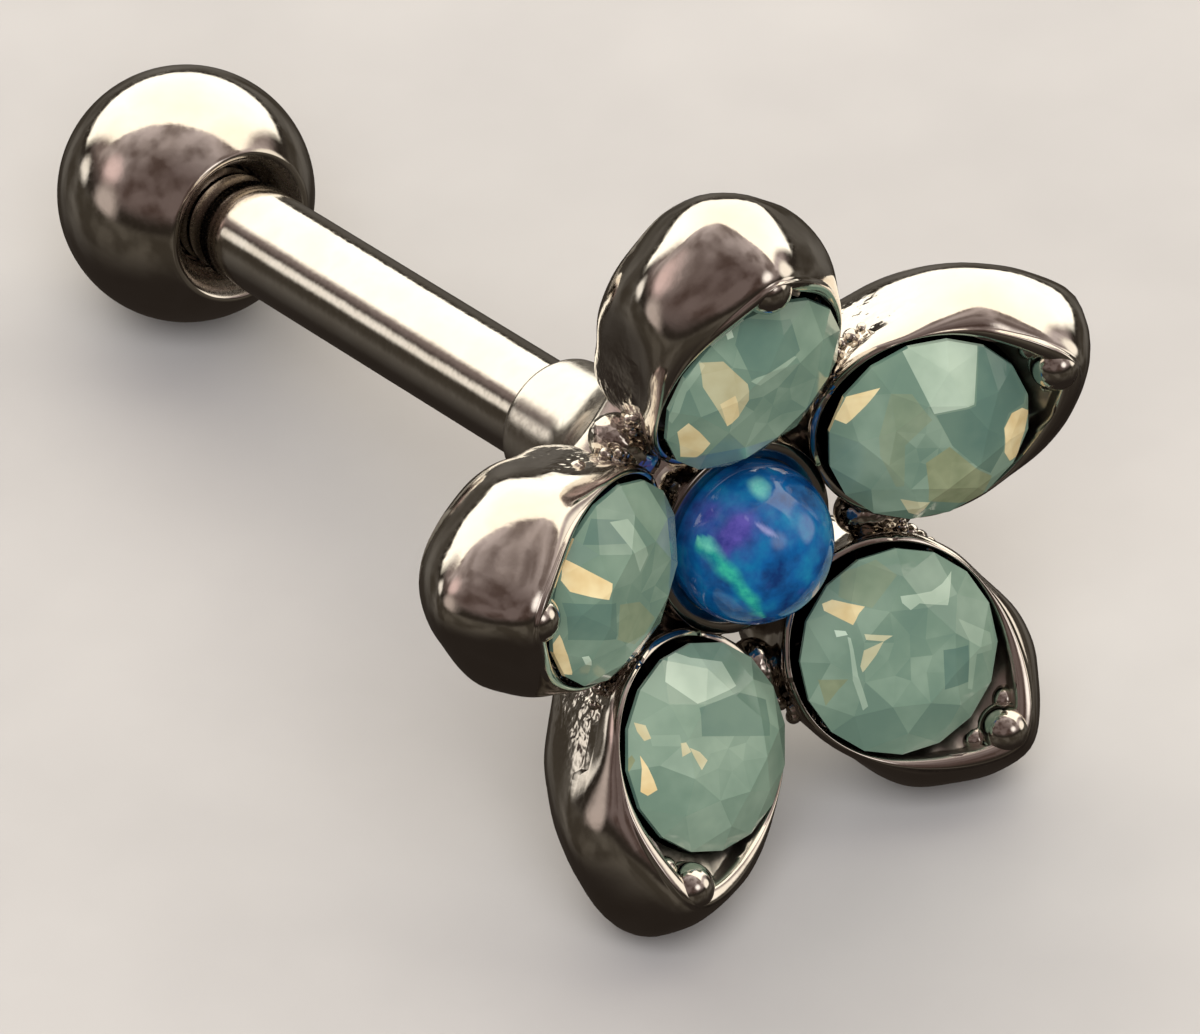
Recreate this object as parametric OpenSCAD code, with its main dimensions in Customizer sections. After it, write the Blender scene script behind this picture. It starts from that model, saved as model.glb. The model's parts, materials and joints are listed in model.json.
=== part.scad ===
// A barbell for an ear cartilage piercing. A flower of five green stones round an opal is soldered to
// a straight post, and a ball screws onto the other end. It lies on two of its petals and the ball.

/* [Post] */
// Diameter of the post, 16 gauge
post_d = 1.2; // [1.1:0.05:1.3]
// Length of bare post between the ball and the flower
grip_len = 6.35; // [5:0.05:12]
// Length of thread on the end of the post
thread_len = 1.4; // [1.2:0.1:1.4]
// Pitch of the thread
thread_pitch = 0.25; // [0.25:0.05:0.3]

/* [Ball] */
// Diameter of the ball
ball_d = 3; // [2.8:0.1:4]
// Diameter of the countersink where the post goes in
countersink_d = 1.75; // [1.6:0.05:1.9]
// Clearance between the ball's hole and the post, on the radius
hole_gap = 0.02; // [0.01:0.01:0.05]

/* [Petals] */
// Distance from the axis to the middle of each stone
petal_ring_r = 2.23; // [2.22:0.01:2.3]
// Distance from the flower's solder joint to the plane of the girdles
flower_reach = 4.25; // [4.2:0.01:4.5]
// Angle at which each petal is raised towards the front
petal_tilt = 20; // [16:1:22]
// Half of a petal's width
petal_half = 1.26; // [1.24:0.01:1.28]
// Reach of a petal's wall past the middle of its stone
petal_point = 2.58; // [2.4:0.02:2.7]
// Depth of a petal below its girdle
petal_depth = 1.94; // [1.8:0.02:2.1]
// Height of the rim above the girdle at the petal's tip
rim_rise = 0.3; // [0.2:0.02:0.36]
// Diameter of the bead that holds each stone at the petal's tip
bead_d = 0.56; // [0.44:0.02:0.6]
// Distance from the middle of the stone to that bead
bead_reach = 1.54; // [1.48:0.01:1.6]

/* [Stones] */
// Diameter of a green stone
stone_d = 2.26; // [2.2:0.02:2.28]
// Height of a stone's crown above its girdle
crown_h = 0.4; // [0.3:0.02:0.5]
// Depth of a stone's pavilion
pavilion_h = 0.9; // [0.8:0.02:0.94]
// Diameter of the opal
opal_d = 1.82; // [1.6:0.02:1.84]
// Distance from the flower's solder joint to the middle of the opal
opal_reach = 3.72; // [3.7:0.01:3.8]

/* [Hidden] */
steel = [0.83, 0.8, 0.76];
milky_green = [0.5, 0.64, 0.56];
opal_blue = [0.1, 0.33, 0.72];
petals = 5;
post_r = post_d / 2;
ball_r = ball_d / 2;
stone_r = stone_d / 2;
opal_r = opal_d / 2;
bead_r = bead_d / 2;
hole_r = post_r + hole_gap;
countersink_r = countersink_d / 2;

// The piece is drawn upright first, with the solder joint at z = 0, the flower above and the post below
ball_at = grip_len + sqrt(ball_r * ball_r - post_r * post_r);
post_past_middle = 0.3;
post_end = ball_at + post_past_middle;
hole_end_gap = 0.06;

// The full post reaches just short of the countersink, and the thread beyond it is a little thinner
shank_end = -grip_len - 0.1;
crest_r = post_r - 0.02;
root_r = crest_r - 0.1;

// Fine shape of a petal, whose heights are measured from the girdle
tip_blunt = 0.2;
shoulder_swell = 0.17;
shoulder_at = 40;
shoulder_width = 22;
wall_widest = -0.34;
seat_gap = 0.05;
mouth_half = petal_half - 0.06;
mouth_point = 1.96;
mouth_blunt = 0.12;
mouth_inset = 0.26;
rim_half_w = 0.04;
rim_tip_half_w = 0.17;
rim_round = 0.08;
rim_low = -0.3;
rim_side_rise = 0.35;
pocket_low = -0.6;
pocket_tip = -0.3;
seat_low = -0.98;
keel_fullness = 0.67;

// Outline of a petal seen from the front, an ogive with a blunt tip. The angle t is 0 at the tip
function ogive(t, half, point, blunt) =
    let (r = (point * point + half * half) / (2 * half),
         c = r - half,
         s = sqrt((abs(t) < 90 ? pow(sin(t), 2) : 1) + blunt * blunt))
    sqrt(r * r - c * c * (1 - s * s)) - c * s;

// How near an angle is to the tip, 1 at the tip and next to nothing at the sides
function tipward(t, power) = pow(cos(t / 2), power);

// The shoulders each side of the tip are a little fuller than the ogive
function shoulder(t) = shoulder_swell * exp(-pow((abs(t) - shoulder_at) / shoulder_width, 2));

// Rim, wall and inside of a petal at angle t, as distances from the stone's axis and heights above its girdle
function wall_reach(t) = ogive(t, petal_half, petal_point, tip_blunt) + shoulder(t);
function wall_level(t) = wall_widest - 0.66 * tipward(t, 10) + 0.3 * shoulder(t);
function inner_reach(t) =
    max(stone_r + seat_gap, ogive(t, mouth_half, mouth_point, mouth_blunt) - mouth_inset * tipward(t, 10));
function crest_reach(t) = inner_reach(t) + rim_half_w + (rim_tip_half_w - rim_half_w) * tipward(t, 10);
function crest_level(t) =
    rim_low + rim_side_rise * tipward(t, 0.75) + (rim_rise - rim_low - rim_side_rise) * tipward(t, 19);
function pocket_level(t) = pocket_low + (pocket_tip - pocket_low) * tipward(t, 12);

// One section through a petal at angle t, from near the middle of the seat over the rim and down to the keel
function petal_section(t) =
    let (inner = inner_reach(t),
         crest = crest_reach(t),
         wall = wall_reach(t),
         top = crest_level(t),
         level = wall_level(t))
    [
        [stone_r * 0.55, seat_low + 0.12],
        [stone_r - 0.06, pocket_low - 0.06],
        [stone_r + 0.03, pocket_level(t) - 0.02],
        [inner - 0.015, pocket_level(t)],
        for (a = [180 : -30 : 120])
            [crest + (crest - inner) * cos(a), top - rim_round + rim_round * sin(a)],
        for (a = [90 : -22.5 : 22.5])
            [crest + (wall - crest) * cos(a), level + (top - level) * sin(a)],
        for (a = [0 : 18 : 72])
            [wall * pow(cos(a), keel_fullness), level - (petal_depth + level) * sin(a)]
    ];

// Below this level a petal leans in towards the post, and the bend there is this soft
bend_level = -0.76;
bend_softness = 0.16;
function keel_shift(z) =
    let (d = (z - bend_level - norm([z - bend_level, bend_softness])) / 2)
    0.83 * d + 0.23 * d * d;

// Points and faces of a petal, as rings of sections round the stone's axis, which crowd together at the tip
around = 34;
crowding = 17;
function section_angle(i) = 360 / around * i - crowding * sin(360 / around * i);
function off_tip(a) = a > 180 ? a - 360 : a;
section_points = len(petal_section(0));
seat_middle = [0, 0, seat_low];
keel_end = [keel_shift(-petal_depth), 0, -petal_depth];
petal_points = [
    seat_middle,
    for (i = [0 : around - 1])
        let (a = section_angle(i))
        for (p = petal_section(off_tip(a)))
            [p[0] * cos(a) + keel_shift(p[1]), p[0] * sin(a), p[1]],
    keel_end
];
function petal_index(i, j) = 1 + (i % around) * section_points + j;
petal_faces = [
    for (i = [0 : around - 1]) each [
        [0, petal_index(i + 1, 0), petal_index(i, 0)],
        for (j = [0 : section_points - 2]) each [
            [petal_index(i, j), petal_index(i + 1, j), petal_index(i + 1, j + 1)],
            [petal_index(i, j), petal_index(i + 1, j + 1), petal_index(i, j + 1)]
        ],
        [len(petal_points) - 1, petal_index(i, section_points - 1), petal_index(i + 1, section_points - 1)]
    ]
];

// The piece leans back until two petals and the ball lie on the surface
function petal_angle(k) = 90 + 360 / petals * k;
function from_petal(p, k) =
    let (r = petal_ring_r + p[0] * cos(petal_tilt) - p[2] * sin(petal_tilt))
    [r * cos(petal_angle(k)) - p[1] * sin(petal_angle(k)),
     r * sin(petal_angle(k)) + p[1] * cos(petal_angle(k)),
     flower_reach + p[0] * sin(petal_tilt) + p[2] * cos(petal_tilt)];
lower_petal = [for (p = petal_points) from_petal(p, 2)];
function petal_foot(lean) = min([for (p = lower_petal) p[1] * cos(lean) + p[2] * sin(lean)]);
function ball_foot(lean) = -ball_at * sin(lean) - ball_r;
function find_lean(low, high, steps) =
    let (middle = (low + high) / 2)
    steps == 0 ? middle
    : petal_foot(middle) < ball_foot(middle) ? find_lean(middle, high, steps - 1)
    : find_lean(low, middle, steps - 1);
lean = find_lean(0, 30, 20);

// How far the flower comes forward, at the rim or the bead of a lower petal
bead_place = [bead_reach, 0, 0.1];
lower_bead = from_petal(bead_place, 2);
function forward(p) = p[2] * cos(lean) - p[1] * sin(lean);
front = max(max([for (p = lower_petal) forward(p)]), forward(lower_bead) + bead_r);
back = ball_at * cos(lean) + ball_r;

module laid_down()
    translate([0, (front - back) / 2, -petal_foot(lean)])
        rotate([90 - lean, 0, 0])
            children();

module petal_place(k)
    rotate([0, 0, petal_angle(k)])
        translate([petal_ring_r, 0, flower_reach])
            rotate([0, -petal_tilt, 0])
                children();

module petal_tray() {
    polyhedron(petal_points, petal_faces);
    translate(bead_place) sphere(bead_r, $fn = 18);
    bead_foot();
}

// The bead stands on a stub that rises from the pocket
module bead_foot() {
    foot_level = -0.45;
    translate([bead_reach, 0, foot_level])
        cylinder(bead_place[2] - foot_level, bead_r + 0.02, bead_r * 0.9, $fn = 18);
}

// Bright fillets of metal join neighbouring petals
web_reach = petal_ring_r * 0.87;
web_level = flower_reach - 0.92;
web_size = [1.02, 0.66, 0.66];
module web(k)
    rotate([0, 0, petal_angle(k) + 180 / petals])
        translate([web_reach, 0, web_level])
            scale(web_size) sphere(0.5, $fn = 14);

// Under the flower a calyx widens from a thin round foot on the post to the petals. It swells into a lobe
// under each petal's keel, and the hollows between the lobes start to widen a little higher
calyx_around = 50;
calyx_levels = 7;
calyx_foot = -0.3;
calyx_top = 2.4;
calyx_foot_r = post_r + 0.03;
function lobe(t) = (1 + cos(petals * t)) / 2;
function calyx_reach(t, s) =
    let (u = max(0, s - 0.06 * (1 - lobe(t))))
    calyx_foot_r + u * (1.1 - 0.15 * lobe(t)) + 0.44 * u * u * lobe(t);
calyx_points = [
    [0, 0, calyx_foot],
    for (i = [0 : calyx_around - 1])
        let (t = 360 / calyx_around * i, a = t + petal_angle(0))
        for (j = [0 : calyx_levels])
            let (s = j / calyx_levels, r = calyx_reach(t, s))
            [r * cos(a), r * sin(a), calyx_foot + (calyx_top - calyx_foot) * s],
    [0, 0, calyx_top + 0.2]
];
function calyx_index(i, j) = 1 + (i % calyx_around) * (calyx_levels + 1) + j;
calyx_faces = [
    for (i = [0 : calyx_around - 1]) each [
        [0, calyx_index(i, 0), calyx_index(i + 1, 0)],
        for (j = [0 : calyx_levels - 1]) each [
            [calyx_index(i, j), calyx_index(i + 1, j + 1), calyx_index(i + 1, j)],
            [calyx_index(i, j), calyx_index(i, j + 1), calyx_index(i + 1, j + 1)]
        ],
        [len(calyx_points) - 1, calyx_index(i + 1, calyx_levels), calyx_index(i, calyx_levels)]
    ]
];

module calyx() {
    polyhedron(calyx_points, calyx_faces);
    opal_cup();
}

// Above the calyx a round cup holds the opal
cup_foot = 2;
cup_foot_r = 1.35;
cup_lip = opal_reach - 0.1;
cup_lip_r = 1.12;
cup_gap = 0.03;
module opal_cup()
    difference() {
        translate([0, 0, cup_foot]) cylinder(cup_lip - cup_foot, cup_foot_r, cup_lip_r, $fn = 36);
        translate([0, 0, opal_reach]) sphere(opal_r + cup_gap, $fn = 32);
    }

// The post runs up into the calyx, and ends below in a thread, whose turns are drawn as rings
module post() {
    top = 0.6;
    thread_top = thread_len - post_end;
    last_turn = thread_pitch - post_end;
    rotate_extrude($fn = 64)
        polygon([
            [0, top],
            [post_r, top],
            [post_r, shank_end],
            for (z = [thread_top : -thread_pitch : last_turn]) each [
                [root_r, z],
                [crest_r, z - thread_pitch / 2]
            ],
            [root_r, -post_end],
            [0, -post_end]
        ]);
}

module flower_post()
    color(steel) {
        post();
        resize([0, 0, 0]) union() {
            calyx();
            for (k = [0 : petals - 1]) {
                petal_place(k) petal_tray();
                web(k);
            }
        }
    }

module screw_ball()
    color(steel)
        translate([0, 0, -ball_at])
            difference() {
                sphere(ball_r, $fn = 72);
                translate([0, 0, -post_past_middle - hole_end_gap]) cylinder(ball_d, hole_r, hole_r, $fn = 64);
                countersink();
            }

// A cone that has the countersink's radius where it breaks out of the ball
module countersink() {
    mouth = sqrt(ball_r * ball_r - countersink_r * countersink_r);
    half_h = 0.3;
    flare = 0.2;
    translate([0, 0, mouth - half_h])
        cylinder(2 * half_h, countersink_r - flare, countersink_r + flare, $fn = 64);
}

// A round brilliant: a table, eight kites, eight stars, sixteen girdle facets and a pavilion
girdle_h = 0.05;
table_r = stone_r * 0.5;
corner_r = stone_r * 0.76;
kite_slope = (crown_h - girdle_h) / (stone_r - table_r);
corner_h = girdle_h + (stone_r - corner_r * cos(22.5)) * kite_slope;
function ring(count, r, z, offset) =
    [for (i = [0 : count - 1]) [r * cos(360 / count * i + offset), r * sin(360 / count * i + offset), z]];
stone_points = concat(
    ring(8, table_r, crown_h, 0),
    ring(8, corner_r, corner_h, 22.5),
    ring(16, stone_r, girdle_h, 0),
    ring(16, stone_r, 0, 0),
    [[0, 0, -pavilion_h]]);
function table_index(i) = i % 8;
function corner_index(i) = 8 + i % 8;
function girdle_index(i) = 16 + i % 16;
function under_index(i) = 32 + i % 16;
stone_faces = concat(
    [[for (i = [7 : -1 : 0]) i]],
    [for (i = [0 : 7]) [table_index(i), table_index(i + 1), corner_index(i)]],
    [for (i = [0 : 7]) [table_index(i), corner_index(i), girdle_index(2 * i), corner_index(i + 7)]],
    [for (i = [0 : 7]) [corner_index(i), girdle_index(2 * i + 1), girdle_index(2 * i)]],
    [for (i = [0 : 7]) [corner_index(i), girdle_index(2 * i + 2), girdle_index(2 * i + 1)]],
    [for (i = [0 : 15]) [girdle_index(i), girdle_index(i + 1), under_index(i + 1), under_index(i)]],
    [for (i = [0 : 15]) [under_index(i), under_index(i + 1), 48]]);

// Each stone is turned a little in its seat, as hand-set stones are
function stone_turn(k) = 11 + 17 * k;

module petal_stone(k)
    color(milky_green)
        petal_place(k)
            rotate([0, 0, stone_turn(k)])
                polyhedron(stone_points, stone_faces);

module centre_opal()
    color(opal_blue)
        translate([0, 0, opal_reach])
            sphere(opal_r, $fn = 72);

laid_down() flower_post();
laid_down() screw_ball();
laid_down() petal_stone(0);  // petal_stone_1
laid_down() petal_stone(1);  // petal_stone_2
laid_down() petal_stone(2);  // petal_stone_3
laid_down() petal_stone(3);  // petal_stone_4
laid_down() petal_stone(4);  // petal_stone_5
laid_down() centre_opal();
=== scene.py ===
"""Looks of the cartilage barbell: fine metal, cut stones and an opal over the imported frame, in soft light."""

import json
import math
import random

import bmesh
import bpy
from mathutils import Matrix, Vector, noise


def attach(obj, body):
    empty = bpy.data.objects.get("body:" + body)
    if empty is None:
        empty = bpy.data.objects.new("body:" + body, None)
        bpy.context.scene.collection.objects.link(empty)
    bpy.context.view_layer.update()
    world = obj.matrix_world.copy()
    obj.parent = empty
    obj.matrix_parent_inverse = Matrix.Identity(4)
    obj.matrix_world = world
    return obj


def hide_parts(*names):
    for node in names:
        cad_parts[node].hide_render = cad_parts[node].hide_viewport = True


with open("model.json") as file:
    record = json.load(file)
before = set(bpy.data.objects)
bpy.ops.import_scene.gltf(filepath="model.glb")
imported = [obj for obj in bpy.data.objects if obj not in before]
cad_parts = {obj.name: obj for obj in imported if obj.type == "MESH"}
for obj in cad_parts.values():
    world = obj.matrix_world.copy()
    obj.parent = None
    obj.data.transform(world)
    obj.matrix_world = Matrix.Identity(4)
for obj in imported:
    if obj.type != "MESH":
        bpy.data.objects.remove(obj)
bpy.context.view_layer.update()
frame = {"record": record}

# Sizes in millimetres, most of them named as in the part's source. The piece is drawn upright, with the
# solder joint at z = 0, the flower above and the post below
MM = 0.001
POST_R = 0.6
GRIP_LEN = 6.35
BALL_R = 1.5
BALL_MIDDLE = -(GRIP_LEN + math.sqrt(BALL_R ** 2 - POST_R ** 2))
POST_PAST_MIDDLE = 0.3
COUNTERSINK_R = 0.875
COUNTERSINK_DEPTH = 0.38
HOLE_R = 0.62
HOLE_END_GAP = 0.06
SHANK_END = -GRIP_LEN - 0.1
POST_END = BALL_MIDDLE - POST_PAST_MIDDLE
CREST_R = POST_R - 0.02
ROOT_R = CREST_R - 0.1
THREAD_PITCH = 0.25
THREAD_LEN = 1.4

# The flower and its stones, which are a little wider than the solid ones so that they fill their seats
PETALS = 5
PETAL_RING_R = 2.23
FLOWER_REACH = 4.25
PETAL_TILT = math.radians(20)
BEAD_R = 0.28
BEAD_PLACE = Vector((1.54, 0, 0.1))
STONE_R = 1.155
CROWN_H = 0.4
GIRDLE_H = 0.05
PAVILION_H = 0.9
OPAL_R = 0.91
OPAL_REACH = 3.72

# Fine shape of a petal, whose heights are measured from the girdle. The rim is thinner than in the source
# and the pocket is shallower at the tip, as the photo shows
PETAL_HALF = 1.26
PETAL_POINT = 2.58
PETAL_DEPTH = 1.94
TIP_BLUNT = 0.2
SHOULDER_SWELL = 0.17
SHOULDER_AT = 40
SHOULDER_WIDTH = 22
WALL_WIDEST = -0.34
WALL_TIP_DROP = 0.66
MOUTH_HALF = PETAL_HALF - 0.06
MOUTH_POINT = 1.96
MOUTH_BLUNT = 0.12
MOUTH_INSET = 0.26
RIM_HALF_W = 0.025
RIM_TIP_HALF_W = 0.17
RIM_ROUND = 0.08
RIM_LOW = -0.3
RIM_SIDE_RISE = 0.35
RIM_RISE = 0.3
RIM_LIP = 0.05
POCKET_LOW = -0.6
POCKET_TIP_RISE = 0.62
BEND_LEVEL = -0.76
BEND_SOFTNESS = 0.16
KEEL_FULLNESS = 0.67
KEEL_LAST = math.radians(88)

# (radius, height) of the seat under a stone, from near its middle outwards. The seat is painted black as shade
SEAT = ((0.3 * STONE_R, -0.94), (0.55 * STONE_R, -0.86), (STONE_R - 0.06, -0.66))

# How far a petal's flanks recede at its tip, and how strongly flanks and pocket floor are rippled
TIP_WEAR = 0.05
FLANK_RIPPLE = 0.02
POCKET_RIPPLE = 0.16

# The calyx is the boss that carries the petals on the post
CALYX_FOOT = -0.06
CALYX_STEP_H = 0.14
CALYX_STEP = 0.17
CALYX_TAPER = 0.03
CALYX_FLARE = 0.87
CALYX_LOBE = 0.29
CALYX_FLARE_FROM = 0.8
CALYX_TOP = 2.4
CALYX_END = 3.3

# The webs between the petals, and the part of the flower where their casting is pitted, with painted shade in
# its pores
WEB_PLACE = Vector((PETAL_RING_R * 0.87, 0, FLOWER_REACH - 0.92))
WEB_HALF = (0.5, 0.33, 0.33, 1)
PITTED_FROM = 2.2
PITTED_TO = 3.9
PITTED_OUTSIDE = 1.8

# Where the upright drawing lies in the row's frame, from the mount on the post
MOUNT_REACH = -3.375
mount = frame["record"]["mounts"][0]
forward = -Vector(mount["axis"]).normalized()
across = Vector((1, 0, 0))
rotation = Matrix((across, forward.cross(across), forward)).transposed().to_4x4()
joint_place = Vector(mount["pos_m"]) - forward * MOUNT_REACH * MM
LAID = Matrix.Translation(joint_place) @ rotation @ Matrix.Scale(MM, 4)


def petal_angle(k):
    return math.radians(90 + 360 / PETALS * k)


def petal_place(k):
    """From a petal's own frame, with x outwards, y sideways and z along the stone's axis, to the flower's."""
    return (Matrix.Rotation(petal_angle(k), 4, "Z")
            @ Matrix.Translation((PETAL_RING_R, 0, FLOWER_REACH))
            @ Matrix.Rotation(-PETAL_TILT, 4, "Y"))


def clamp(value):
    return min(1, max(0, value))


def stations(first, last, count):
    return [first + (last - first) * i / count for i in range(count + 1)]


# Shape of a petal, at angle t round the stone from the petal's tip

def ogive(t, half, point, blunt):
    r = (point * point + half * half) / (2 * half)
    c = r - half
    s = math.sqrt((math.sin(t) ** 2 if abs(t) < math.pi / 2 else 1) + blunt * blunt)
    return math.sqrt(r * r - c * c * (1 - s * s)) - c * s


def tipward(t, power):
    """How near an angle is to the tip, 1 at the tip and 0 opposite it. A higher power falls off sooner."""
    return abs(math.cos(t / 2)) ** power


def shoulder(t):
    """The shoulders each side of the tip are a little fuller than the ogive."""
    return SHOULDER_SWELL * math.exp(-((abs(math.degrees(t)) - SHOULDER_AT) / SHOULDER_WIDTH) ** 2)


def soft_max(a, b, width):
    return (a + b + math.sqrt((a - b) ** 2 + width * width)) / 2


def wall_reach(t):
    return ogive(t, PETAL_HALF, PETAL_POINT, TIP_BLUNT) + shoulder(t)


def wall_level(t):
    return WALL_WIDEST - WALL_TIP_DROP * tipward(t, 10) + 0.3 * shoulder(t)


def inner_reach(t):
    """The seat's wall lies close round the stone, and opens into a pointed pocket at the tip."""
    pointed = ogive(t, MOUTH_HALF, MOUTH_POINT, MOUTH_BLUNT) - MOUTH_INSET * tipward(t, 10)
    return soft_max(STONE_R + 0.01, pointed - 0.03, 0.02)


def crest_reach(t):
    return inner_reach(t) + RIM_HALF_W + (RIM_TIP_HALF_W - RIM_HALF_W) * tipward(t, 10)


def crest_level(t):
    at_tip = RIM_RISE - RIM_LOW - RIM_SIDE_RISE
    return RIM_LOW + RIM_SIDE_RISE * tipward(t, 0.75) + at_tip * tipward(t, 19)


def pocket_level(t):
    return POCKET_LOW + POCKET_TIP_RISE * tipward(t, 6)


def keel_shift(z):
    """The deeper a section lies, the further it leans in towards the post."""
    d = (z - BEND_LEVEL - math.hypot(z - BEND_LEVEL, BEND_SOFTNESS)) / 2
    return 0.83 * d + 0.23 * d * d


# Steps round a petal and along the parts of its section, and the points of the section that lie in the pocket
PETAL_AROUND = 132
CREST_STEPS = 7
FLANK_STEPS = 18
KEEL_STEPS = 20
POCKET_POINTS = range(4, 9)


def petal_section(t):
    """(distance, height, painted shade) from the seat's middle over the rim and down to the keel."""
    inner, crest, wall = inner_reach(t), crest_reach(t), wall_reach(t)
    top, level, pocket = crest_level(t), wall_level(t), pocket_level(t)
    brow = top - RIM_ROUND
    # Painted shade fills the seat and the gap beside the stone and fades up the inner wall, with less of it
    # towards the tip
    shade = max(0, 1 - 1.3 * tipward(t, 6))
    lip = RIM_LIP * (1 - tipward(t, 4))
    points = [(r, z, 1) for r, z in SEAT]
    points += [(STONE_R + 0.03, pocket - 0.04, 0.2 + 0.8 * shade), (inner - 0.015, pocket, shade)]
    points += [(inner, pocket + (brow - pocket) * s, shade * (1 - s) ** 2) for s in (0.15, 0.4, 0.7)]
    for a in stations(math.pi, math.pi / 2, CREST_STEPS):
        points.append((crest + (crest - inner) * math.cos(a), brow + RIM_ROUND * math.sin(a), 0))
    for a in stations(math.pi / 2, 0, FLANK_STEPS)[1:]:
        reach = crest + (wall - crest) * math.cos(a) + lip * math.sin(2 * a)
        points.append((reach, level + (top - level) * math.sin(a), 0))
    for a in stations(0, KEEL_LAST, KEEL_STEPS)[1:]:
        points.append((wall * math.cos(a) ** KEEL_FULLNESS, level - (PETAL_DEPTH + level) * math.sin(a), 0))
    return points


# Mesh code

class Shell:
    """Collects surfaces in the flower's frame, with a painted shade, a pitting whose pores also carry painted
    shade, and a softness for each point.
    """

    def __init__(self):
        self.points, self.faces, self.dark, self.pitted, self.satin = [], [], [], [], []

    def skin(self, rings, place=Matrix.Identity(4), ends=(True, True), pitted=None, satin=None):
        """Joins rings of (x, y, z, painted shade), which may close to a pole at either end."""
        start = len(self.points)
        count = len(rings[0])
        last = start + (len(rings) - 1) * count
        for ring in rings:
            for x, y, z, dark in ring:
                p = place @ Vector((x, y, z))
                self.points.append(p)
                self.dark.append(dark)
                self.pitted.append(pitted(p) if pitted else 0.0)
                self.satin.append(satin(p) if satin else 0.0)
        for a in range(start, last, count):
            for j in range(count):
                n = (j + 1) % count
                self.faces.append((a + j, a + n, a + count + n, a + count + j))
        for closed, base, turned in ((ends[0], start, True), (ends[1], last, False)):
            if closed:
                self.close(base, count, turned)

    def close(self, base, count, turned):
        """Joins the ring that starts at a point to a pole in its middle."""
        self.points.append(sum(self.points[base:base + count], Vector()) / count)
        for values in (self.dark, self.pitted, self.satin):
            values.append(values[base])
        pole = len(self.points) - 1
        for j in range(count):
            a, b = base + j, base + (j + 1) % count
            self.faces.append((pole, b, a) if turned else (pole, a, b))

    def lathe(self, profile, place=Matrix.Identity(4), around=128, **more):
        """Turns a profile of (radius, height, painted shade) about z."""
        angles = [2 * math.pi * i / around for i in range(around)]
        rings = [[(r * math.cos(a), r * math.sin(a), z, dark) for a in angles] for r, z, dark in profile]
        self.skin(rings, place, **more)

    def make(self, name, body, slot, material, *nodes):
        """Makes the object, rides it on its body and lets it stand for CAD nodes."""
        mesh = bpy.data.meshes.new(name)
        mesh.from_pydata([LAID @ p for p in self.points], [], self.faces)
        for label, values in (("dark", self.dark), ("pitted", self.pitted), ("satin", self.satin)):
            add_values(mesh, label, values)
        mesh.shade_smooth()
        mesh.validate()
        mesh.materials.append(material)
        obj = bpy.data.objects.new(name, mesh)
        bpy.context.scene.collection.objects.link(obj)
        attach(obj, body)
        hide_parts(*nodes)
        return obj


def add_values(mesh, label, values):
    mesh.attributes.new(label, "FLOAT", "POINT").data.foreach_set("value", values)


def ball_profile(radius, count=24):
    return [(radius * math.sin(a), -radius * math.cos(a), 0) for a in stations(0.05, math.pi - 0.05, count)]


def near_web(p):
    """Casting pits gather on the webs between the petals, with painted shade in their pores."""
    turn = math.atan2(p.y, p.x) - petal_angle(0)
    between = clamp(2.6 - 4.2 * abs(math.cos(PETALS * turn / 2)))
    return between if PITTED_FROM < p.z < PITTED_TO and p.to_2d().length > PITTED_OUTSIDE else 0.0


def in_pocket(p):
    """The floor of the pocket between the stone and the petal's tip is left rough by the casting."""
    t = math.atan2(p.y, p.x)
    return 0.8 if p.x > 0.6 and STONE_R < p.to_2d().length < inner_reach(t) + 0.01 else 0.0


def petal_rings(k):
    """The sections of a petal, joined point by point into rings that ripple as a casting does."""
    section_length = len(petal_section(0))
    rippled_from = section_length + 1 - FLANK_STEPS - KEEL_STEPS
    rings = [[] for _ in range(section_length)]
    for i in range(PETAL_AROUND):
        a = 2 * math.pi * i / PETAL_AROUND
        t = a - 2 * math.pi if a > math.pi else a
        for j, (r, z, dark) in enumerate(petal_section(t)):
            spot = Vector((r * math.cos(a), r * math.sin(a), z + 5 * k))
            if j >= rippled_from:
                ripple = FLANK_RIPPLE * (abs(noise.noise(spot * 1.1)) + noise.noise(spot * 2.2))
                r -= TIP_WEAR * tipward(t, 6) + ripple
            if j in POCKET_POINTS:
                z += POCKET_RIPPLE * tipward(t, 8) * noise.noise(spot * 4.5)
            rings[j].append((r * math.cos(a) + keel_shift(z), r * math.sin(a), z, dark))
    return rings


def add_petal(shell, k):
    place = petal_place(k)
    shell.skin(petal_rings(k), place, pitted=near_web, satin=lambda p: in_pocket(place.inverted() @ p))
    shell.lathe(ball_profile(BEAD_R), place @ Matrix.Translation(BEAD_PLACE), 32)
    # Painted shade at the bead's foot
    foot = [(BEAD_R + 0.04, -0.45, 0.3), (BEAD_R + 0.02, -0.2, 0), (BEAD_R * 0.96, 0.08, 0)]
    shell.lathe(foot, place @ Matrix.Translation((BEAD_PLACE.x, 0, 0)), 32)


def add_web(shell, k):
    """A bright fillet of metal between two petals."""
    turn = Matrix.Rotation(petal_angle(k) + math.pi / PETALS, 4, "Z")
    place = turn @ Matrix.Translation(WEB_PLACE) @ Matrix.Diagonal(WEB_HALF)
    shell.lathe(ball_profile(1, 30), place, 48, pitted=lambda p: 1.0)


# (distance along the petal, distance to the side, height, radius) of the lumps beside a bead
BEAD_LUMPS = ((1.4, 0.27, -0.1, 0.17), (1.55, 0.2, 0.05, 0.16))
LUMP_SEED = 7


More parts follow.
